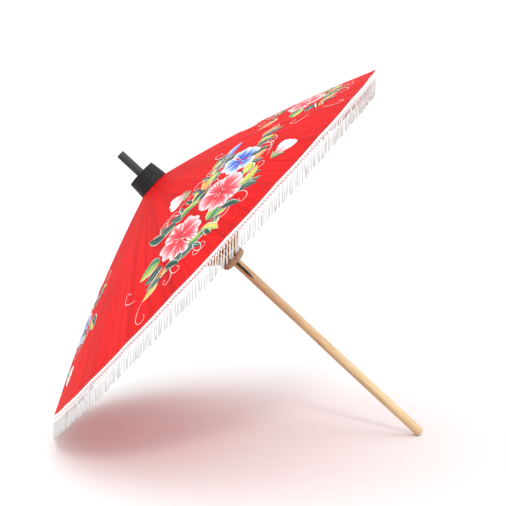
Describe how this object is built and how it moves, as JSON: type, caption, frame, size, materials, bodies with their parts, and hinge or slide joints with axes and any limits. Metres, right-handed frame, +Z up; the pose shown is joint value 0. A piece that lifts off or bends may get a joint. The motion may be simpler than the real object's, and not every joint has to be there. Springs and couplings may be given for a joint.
{
  "type": "folding oil paper umbrella",
  "caption": "Folding parasol with a slatted bamboo frame, sliding runner, painted oiled canopy, black head cap and hanging fringe, shown open and resting on its side.",
  "frame": {"origin": "middle of the open umbrella's footprint, on the surface it rests on", "axes": "+Z up; the stick leans back from its lower end at +X up to the head cap at -X; +Y across the canopy, along its full width"},
  "size_m": [0.6374, 0.798, 0.6314],
  "materials": {
    "stick_wood": "satin, pale turned stick with a fine straight grain; black lacquer on the rod above the cap",
    "turned_wood": "dry turned wood, brownish grey",
    "bamboo": "split bamboo, satin",
    "black_lacquer": "rough brushed black lacquer",
    "oiled_cloth": "bright red oiled cloth, satin, painted flowers",
    "thread": "matt cotton thread",
    "fringe_cotton": "white cotton fringe, soft sheen",
    "spring_wood": "dark bamboo spring"
  },
  "bodies": {
    "frame": {"shaft": "stick_wood", "pegs": "bamboo", "top_hub": "turned_wood", "hub_thread": "thread", "head_cap": "black_lacquer", "canopy": "oiled_cloth", "rim_cord": "thread", "fringe_header": "fringe_cotton", "fringe": "fringe_cotton"},
    "runner": {"runner": "turned_wood", "runner_thread": "thread"},
    "catch": {"catch_spring": "spring_wood"},
    "rib_01": {"rib_01": "bamboo"},
    "rib_02": {"rib_02": "bamboo"},
    "rib_03": {"rib_03": "bamboo"},
    "rib_04": {"rib_04": "bamboo"},
    "rib_05": {"rib_05": "bamboo"},
    "rib_06": {"rib_06": "bamboo"},
    "rib_07": {"rib_07": "bamboo"},
    "rib_08": {"rib_08": "bamboo"},
    "rib_09": {"rib_09": "bamboo"},
    "rib_10": {"rib_10": "bamboo"},
    "rib_11": {"rib_11": "bamboo"},
    "rib_12": {"rib_12": "bamboo"},
    "rib_13": {"rib_13": "bamboo"},
    "rib_14": {"rib_14": "bamboo"},
    "rib_15": {"rib_15": "bamboo"},
    "rib_16": {"rib_16": "bamboo"},
    "rib_17": {"rib_17": "bamboo"},
    "rib_18": {"rib_18": "bamboo"},
    "rib_19": {"rib_19": "bamboo"},
    "rib_20": {"rib_20": "bamboo"},
    "rib_21": {"rib_21": "bamboo"},
    "rib_22": {"rib_22": "bamboo"},
    "rib_23": {"rib_23": "bamboo"},
    "rib_24": {"rib_24": "bamboo"},
    "strut_01": {"strut_01": "bamboo"},
    "strut_02": {"strut_02": "bamboo"},
    "strut_03": {"strut_03": "bamboo"},
    "strut_04": {"strut_04": "bamboo"},
    "strut_05": {"strut_05": "bamboo"},
    "strut_06": {"strut_06": "bamboo"},
    "strut_07": {"strut_07": "bamboo"},
    "strut_08": {"strut_08": "bamboo"},
    "strut_09": {"strut_09": "bamboo"},
    "strut_10": {"strut_10": "bamboo"},
    "strut_11": {"strut_11": "bamboo"},
    "strut_12": {"strut_12": "bamboo"},
    "strut_13": {"strut_13": "bamboo"},
    "strut_14": {"strut_14": "bamboo"},
    "strut_15": {"strut_15": "bamboo"},
    "strut_16": {"strut_16": "bamboo"},
    "strut_17": {"strut_17": "bamboo"},
    "strut_18": {"strut_18": "bamboo"},
    "strut_19": {"strut_19": "bamboo"},
    "strut_20": {"strut_20": "bamboo"},
    "strut_21": {"strut_21": "bamboo"},
    "strut_22": {"strut_22": "bamboo"},
    "strut_23": {"strut_23": "bamboo"},
    "strut_24": {"strut_24": "bamboo"}
  },
  "joints": [
    {"name": "runner_slide", "type": "slide", "parent": "frame", "child": "runner", "axis": [0.7412, 0, -0.6713], "range_m": [0, 0.1704], "deforming": ["canopy", "rim_cord", "fringe_header", "fringe", "catch_spring"]},
    {"name": "catch_press", "type": "hinge", "parent": "frame", "child": "catch", "pos_m": [0.00682, -0.0012, 0.28342], "axis": [-0.6713, 0, -0.7412], "range_deg": [0, 7.5], "stiffness_Nm_per_rad": 0.3},
    {"name": "rib_01_hinge", "type": "hinge", "parent": "frame", "child": "rib_01", "pos_m": [-0.14187, 0.00254, 0.44416], "axis": [-0.0876, 0.9914, -0.0967], "range_deg": [0, 65.35]},
    {"name": "strut_01_hinge", "type": "hinge", "parent": "runner", "child": "strut_01", "pos_m": [-0.01233, 0.00235, 0.32484], "axis": [-0.0876, 0.9914, -0.0967], "range_deg": [-43.02, 0]},
    {"name": "rib_02_hinge", "type": "hinge", "parent": "frame", "child": "rib_02", "pos_m": [-0.14276, 0.00746, 0.44318], "axis": [-0.2569, 0.9239, -0.2836], "range_deg": [0, 65.35]},
    {"name": "strut_02_hinge", "type": "hinge", "parent": "runner", "child": "strut_02", "pos_m": [-0.01315, 0.00689, 0.32394], "axis": [-0.2569, 0.9239, -0.2836], "range_deg": [-43.02, 0]},
    {"name": "rib_03_hinge", "type": "hinge", "parent": "frame", "child": "rib_03", "pos_m": [-0.14446, 0.01187, 0.4413], "axis": [-0.4086, 0.7934, -0.4512], "range_deg": [0, 65.35]},
    {"name": "strut_03_hinge", "type": "hinge", "parent": "runner", "child": "strut_03", "pos_m": [-0.01473, 0.01096, 0.3222], "axis": [-0.4086, 0.7934, -0.4512], "range_deg": [-43.02, 0]},
    {"name": "rib_04_hinge", "type": "hinge", "parent": "frame", "child": "rib_04", "pos_m": [-0.14688, 0.01547, 0.43863], "axis": [-0.5326, 0.6088, -0.588], "range_deg": [0, 65.35]},
    {"name": "strut_04_hinge", "type": "hinge", "parent": "runner", "child": "strut_04", "pos_m": [-0.01696, 0.01428, 0.31973], "axis": [-0.5326, 0.6088, -0.588], "range_deg": [-43.02, 0]},
    {"name": "rib_05_hinge", "type": "hinge", "parent": "frame", "child": "rib_05", "pos_m": [-0.14984, 0.01802, 0.43536], "axis": [-0.6202, 0.3827, -0.6848], "range_deg": [0, 65.35]},
    {"name": "strut_05_hinge", "type": "hinge", "parent": "runner", "child": "strut_05", "pos_m": [-0.01969, 0.01663, 0.31672], "axis": [-0.6202, 0.3827, -0.6848], "range_deg": [-43.02, 0]},
    {"name": "rib_06_hinge", "type": "hinge", "parent": "frame", "child": "rib_06", "pos_m": [-0.15314, 0.01933, 0.43172], "axis": [-0.6655, 0.1305, -0.7349], "range_deg": [0, 65.35]},
    {"name": "strut_06_hinge", "type": "hinge", "parent": "runner", "child": "strut_06", "pos_m": [-0.02274, 0.01785, 0.31335], "axis": [-0.6655, 0.1305, -0.7349], "range_deg": [-43.02, 0]},
    {"name": "rib_07_hinge", "type": "hinge", "parent": "frame", "child": "rib_07", "pos_m": [-0.15656, 0.01933, 0.42795], "axis": [-0.6655, -0.1305, -0.7349], "range_deg": [0, 65.35]},
    {"name": "strut_07_hinge", "type": "hinge", "parent": "runner", "child": "strut_07", "pos_m": [-0.02589, 0.01785, 0.30987], "axis": [-0.6655, -0.1305, -0.7349], "range_deg": [-43.02, 0]},
    {"name": "rib_08_hinge", "type": "hinge", "parent": "frame", "child": "rib_08", "pos_m": [-0.15986, 0.01802, 0.4243], "axis": [-0.6202, -0.3827, -0.6848], "range_deg": [0, 65.35]},
    {"name": "strut_08_hinge", "type": "hinge", "parent": "runner", "child": "strut_08", "pos_m": [-0.02894, 0.01663, 0.3065], "axis": [-0.6202, -0.3827, -0.6848], "range_deg": [-43.02, 0]},
    {"name": "rib_09_hinge", "type": "hinge", "parent": "frame", "child": "rib_09", "pos_m": [-0.16282, 0.01547, 0.42103], "axis": [-0.5326, -0.6088, -0.588], "range_deg": [0, 65.35]},
    {"name": "strut_09_hinge", "type": "hinge", "parent": "runner", "child": "strut_09", "pos_m": [-0.03167, 0.01428, 0.30349], "axis": [-0.5326, -0.6088, -0.588], "range_deg": [-43.02, 0]},
    {"name": "rib_10_hinge", "type": "hinge", "parent": "frame", "child": "rib_10", "pos_m": [-0.16523, 0.01187, 0.41836], "axis": [-0.4086, -0.7934, -0.4512], "range_deg": [0, 65.35]},
    {"name": "strut_10_hinge", "type": "hinge", "parent": "runner", "child": "strut_10", "pos_m": [-0.0339, 0.01096, 0.30102], "axis": [-0.4086, -0.7934, -0.4512], "range_deg": [-43.02, 0]},
    {"name": "rib_11_hinge", "type": "hinge", "parent": "frame", "child": "rib_11", "pos_m": [-0.16694, 0.00746, 0.41648], "axis": [-0.2569, -0.9239, -0.2836], "range_deg": [0, 65.35]},
    {"name": "strut_11_hinge", "type": "hinge", "parent": "runner", "child": "strut_11", "pos_m": [-0.03548, 0.00689, 0.29928], "axis": [-0.2569, -0.9239, -0.2836], "range_deg": [-43.02, 0]},
    {"name": "rib_12_hinge", "type": "hinge", "parent": "frame", "child": "rib_12", "pos_m": [-0.16783, 0.00254, 0.4155], "axis": [-0.0876, -0.9914, -0.0967], "range_deg": [0, 65.35]},
    {"name": "strut_12_hinge", "type": "hinge", "parent": "runner", "child": "strut_12", "pos_m": [-0.03629, 0.00235, 0.29838], "axis": [-0.0876, -0.9914, -0.0967], "range_deg": [-43.02, 0]},
    {"name": "rib_13_hinge", "type": "hinge", "parent": "frame", "child": "rib_13", "pos_m": [-0.16783, -0.00254, 0.4155], "axis": [0.0876, -0.9914, 0.0967], "range_deg": [0, 65.35]},
    {"name": "strut_13_hinge", "type": "hinge", "parent": "runner", "child": "strut_13", "pos_m": [-0.03629, -0.00235, 0.29838], "axis": [0.0876, -0.9914, 0.0967], "range_deg": [-43.02, 0]},
    {"name": "rib_14_hinge", "type": "hinge", "parent": "frame", "child": "rib_14", "pos_m": [-0.16694, -0.00746, 0.41648], "axis": [0.2569, -0.9239, 0.2836], "range_deg": [0, 65.35]},
    {"name": "strut_14_hinge", "type": "hinge", "parent": "runner", "child": "strut_14", "pos_m": [-0.03548, -0.00689, 0.29928], "axis": [0.2569, -0.9239, 0.2836], "range_deg": [-43.02, 0]},
    {"name": "rib_15_hinge", "type": "hinge", "parent": "frame", "child": "rib_15", "pos_m": [-0.16523, -0.01187, 0.41836], "axis": [0.4086, -0.7934, 0.4512], "range_deg": [0, 65.35]},
    {"name": "strut_15_hinge", "type": "hinge", "parent": "runner", "child": "strut_15", "pos_m": [-0.0339, -0.01096, 0.30102], "axis": [0.4086, -0.7934, 0.4512], "range_deg": [-43.02, 0]},
    {"name": "rib_16_hinge", "type": "hinge", "parent": "frame", "child": "rib_16", "pos_m": [-0.16282, -0.01547, 0.42103], "axis": [0.5326, -0.6088, 0.588], "range_deg": [0, 65.35]},
    {"name": "strut_16_hinge", "type": "hinge", "parent": "runner", "child": "strut_16", "pos_m": [-0.03167, -0.01428, 0.30349], "axis": [0.5326, -0.6088, 0.588], "range_deg": [-43.02, 0]},
    {"name": "rib_17_hinge", "type": "hinge", "parent": "frame", "child": "rib_17", "pos_m": [-0.15986, -0.01802, 0.4243], "axis": [0.6202, -0.3827, 0.6848], "range_deg": [0, 65.35]},
    {"name": "strut_17_hinge", "type": "hinge", "parent": "runner", "child": "strut_17", "pos_m": [-0.02894, -0.01663, 0.3065], "axis": [0.6202, -0.3827, 0.6848], "range_deg": [-43.02, 0]},
    {"name": "rib_18_hinge", "type": "hinge", "parent": "frame", "child": "rib_18", "pos_m": [-0.15656, -0.01933, 0.42795], "axis": [0.6655, -0.1305, 0.7349], "range_deg": [0, 65.35]},
    {"name": "strut_18_hinge", "type": "hinge", "parent": "runner", "child": "strut_18", "pos_m": [-0.02589, -0.01785, 0.30987], "axis": [0.6655, -0.1305, 0.7349], "range_deg": [-43.02, 0]},
    {"name": "rib_19_hinge", "type": "hinge", "parent": "frame", "child": "rib_19", "pos_m": [-0.15314, -0.01933, 0.43172], "axis": [0.6655, 0.1305, 0.7349], "range_deg": [0, 65.35]},
    {"name": "strut_19_hinge", "type": "hinge", "parent": "runner", "child": "strut_19", "pos_m": [-0.02274, -0.01785, 0.31335], "axis": [0.6655, 0.1305, 0.7349], "range_deg": [-43.02, 0]},
    {"name": "rib_20_hinge", "type": "hinge", "parent": "frame", "child": "rib_20", "pos_m": [-0.14984, -0.01802, 0.43536], "axis": [0.6202, 0.3827, 0.6848], "range_deg": [0, 65.35]},
    {"name": "strut_20_hinge", "type": "hinge", "parent": "runner", "child": "strut_20", "pos_m": [-0.01969, -0.01663, 0.31672], "axis": [0.6202, 0.3827, 0.6848], "range_deg": [-43.02, 0]},
    {"name": "rib_21_hinge", "type": "hinge", "parent": "frame", "child": "rib_21", "pos_m": [-0.14688, -0.01547, 0.43863], "axis": [0.5326, 0.6088, 0.588], "range_deg": [0, 65.35]},
    {"name": "strut_21_hinge", "type": "hinge", "parent": "runner", "child": "strut_21", "pos_m": [-0.01696, -0.01428, 0.31973], "axis": [0.5326, 0.6088, 0.588], "range_deg": [-43.02, 0]},
    {"name": "rib_22_hinge", "type": "hinge", "parent": "frame", "child": "rib_22", "pos_m": [-0.14446, -0.01187, 0.4413], "axis": [0.4086, 0.7934, 0.4512], "range_deg": [0, 65.35]},
    {"name": "strut_22_hinge", "type": "hinge", "parent": "runner", "child": "strut_22", "pos_m": [-0.01473, -0.01096, 0.3222], "axis": [0.4086, 0.7934, 0.4512], "range_deg": [-43.02, 0]},
    {"name": "rib_23_hinge", "type": "hinge", "parent": "frame", "child": "rib_23", "pos_m": [-0.14276, -0.00746, 0.44318], "axis": [0.2569, 0.9239, 0.2836], "range_deg": [0, 65.35]},
    {"name": "strut_23_hinge", "type": "hinge", "parent": "runner", "child": "strut_23", "pos_m": [-0.01315, -0.00689, 0.32394], "axis": [0.2569, 0.9239, 0.2836], "range_deg": [-43.02, 0]},
    {"name": "rib_24_hinge", "type": "hinge", "parent": "frame", "child": "rib_24", "pos_m": [-0.14187, -0.00254, 0.44416], "axis": [0.0876, 0.9914, 0.0967], "range_deg": [0, 65.35]},
    {"name": "strut_24_hinge", "type": "hinge", "parent": "runner", "child": "strut_24", "pos_m": [-0.01233, -0.00235, 0.32484], "axis": [0.0876, 0.9914, 0.0967], "range_deg": [-43.02, 0]}
  ],
  "couplings": [
    {"joint": "rib_01_hinge", "follows": "runner_slide", "rad_per_m": 6.6911},
    {"joint": "strut_01_hinge", "follows": "runner_slide", "rad_per_m": -4.4041},
    {"joint": "rib_02_hinge", "follows": "runner_slide", "rad_per_m": 6.6911},
    {"joint": "strut_02_hinge", "follows": "runner_slide", "rad_per_m": -4.4041},
    {"joint": "rib_03_hinge", "follows": "runner_slide", "rad_per_m": 6.6911},
    {"joint": "strut_03_hinge", "follows": "runner_slide", "rad_per_m": -4.4041},
    {"joint": "rib_04_hinge", "follows": "runner_slide", "rad_per_m": 6.6911},
    {"joint": "strut_04_hinge", "follows": "runner_slide", "rad_per_m": -4.4041},
    {"joint": "rib_05_hinge", "follows": "runner_slide", "rad_per_m": 6.6911},
    {"joint": "strut_05_hinge", "follows": "runner_slide", "rad_per_m": -4.4041},
    {"joint": "rib_06_hinge", "follows": "runner_slide", "rad_per_m": 6.6911},
    {"joint": "strut_06_hinge", "follows": "runner_slide", "rad_per_m": -4.4041},
    {"joint": "rib_07_hinge", "follows": "runner_slide", "rad_per_m": 6.6911},
    {"joint": "strut_07_hinge", "follows": "runner_slide", "rad_per_m": -4.4041},
    {"joint": "rib_08_hinge", "follows": "runner_slide", "rad_per_m": 6.6911},
    {"joint": "strut_08_hinge", "follows": "runner_slide", "rad_per_m": -4.4041},
    {"joint": "rib_09_hinge", "follows": "runner_slide", "rad_per_m": 6.6911},
    {"joint": "strut_09_hinge", "follows": "runner_slide", "rad_per_m": -4.4041},
    {"joint": "rib_10_hinge", "follows": "runner_slide", "rad_per_m": 6.6911},
    {"joint": "strut_10_hinge", "follows": "runner_slide", "rad_per_m": -4.4041},
    {"joint": "rib_11_hinge", "follows": "runner_slide", "rad_per_m": 6.6911},
    {"joint": "strut_11_hinge", "follows": "runner_slide", "rad_per_m": -4.4041},
    {"joint": "rib_12_hinge", "follows": "runner_slide", "rad_per_m": 6.6911},
    {"joint": "strut_12_hinge", "follows": "runner_slide", "rad_per_m": -4.4041},
    {"joint": "rib_13_hinge", "follows": "runner_slide", "rad_per_m": 6.6911},
    {"joint": "strut_13_hinge", "follows": "runner_slide", "rad_per_m": -4.4041},
    {"joint": "rib_14_hinge", "follows": "runner_slide", "rad_per_m": 6.6911},
    {"joint": "strut_14_hinge", "follows": "runner_slide", "rad_per_m": -4.4041},
    {"joint": "rib_15_hinge", "follows": "runner_slide", "rad_per_m": 6.6911},
    {"joint": "strut_15_hinge", "follows": "runner_slide", "rad_per_m": -4.4041},
    {"joint": "rib_16_hinge", "follows": "runner_slide", "rad_per_m": 6.6911},
    {"joint": "strut_16_hinge", "follows": "runner_slide", "rad_per_m": -4.4041},
    {"joint": "rib_17_hinge", "follows": "runner_slide", "rad_per_m": 6.6911},
    {"joint": "strut_17_hinge", "follows": "runner_slide", "rad_per_m": -4.4041},
    {"joint": "rib_18_hinge", "follows": "runner_slide", "rad_per_m": 6.6911},
    {"joint": "strut_18_hinge", "follows": "runner_slide", "rad_per_m": -4.4041},
    {"joint": "rib_19_hinge", "follows": "runner_slide", "rad_per_m": 6.6911},
    {"joint": "strut_19_hinge", "follows": "runner_slide", "rad_per_m": -4.4041},
    {"joint": "rib_20_hinge", "follows": "runner_slide", "rad_per_m": 6.6911},
    {"joint": "strut_20_hinge", "follows": "runner_slide", "rad_per_m": -4.4041},
    {"joint": "rib_21_hinge", "follows": "runner_slide", "rad_per_m": 6.6911},
    {"joint": "strut_21_hinge", "follows": "runner_slide", "rad_per_m": -4.4041},
    {"joint": "rib_22_hinge", "follows": "runner_slide", "rad_per_m": 6.6911},
    {"joint": "strut_22_hinge", "follows": "runner_slide", "rad_per_m": -4.4041},
    {"joint": "rib_23_hinge", "follows": "runner_slide", "rad_per_m": 6.6911},
    {"joint": "strut_23_hinge", "follows": "runner_slide", "rad_per_m": -4.4041},
    {"joint": "rib_24_hinge", "follows": "runner_slide", "rad_per_m": 6.6911},
    {"joint": "strut_24_hinge", "follows": "runner_slide", "rad_per_m": -4.4041}
  ]
}
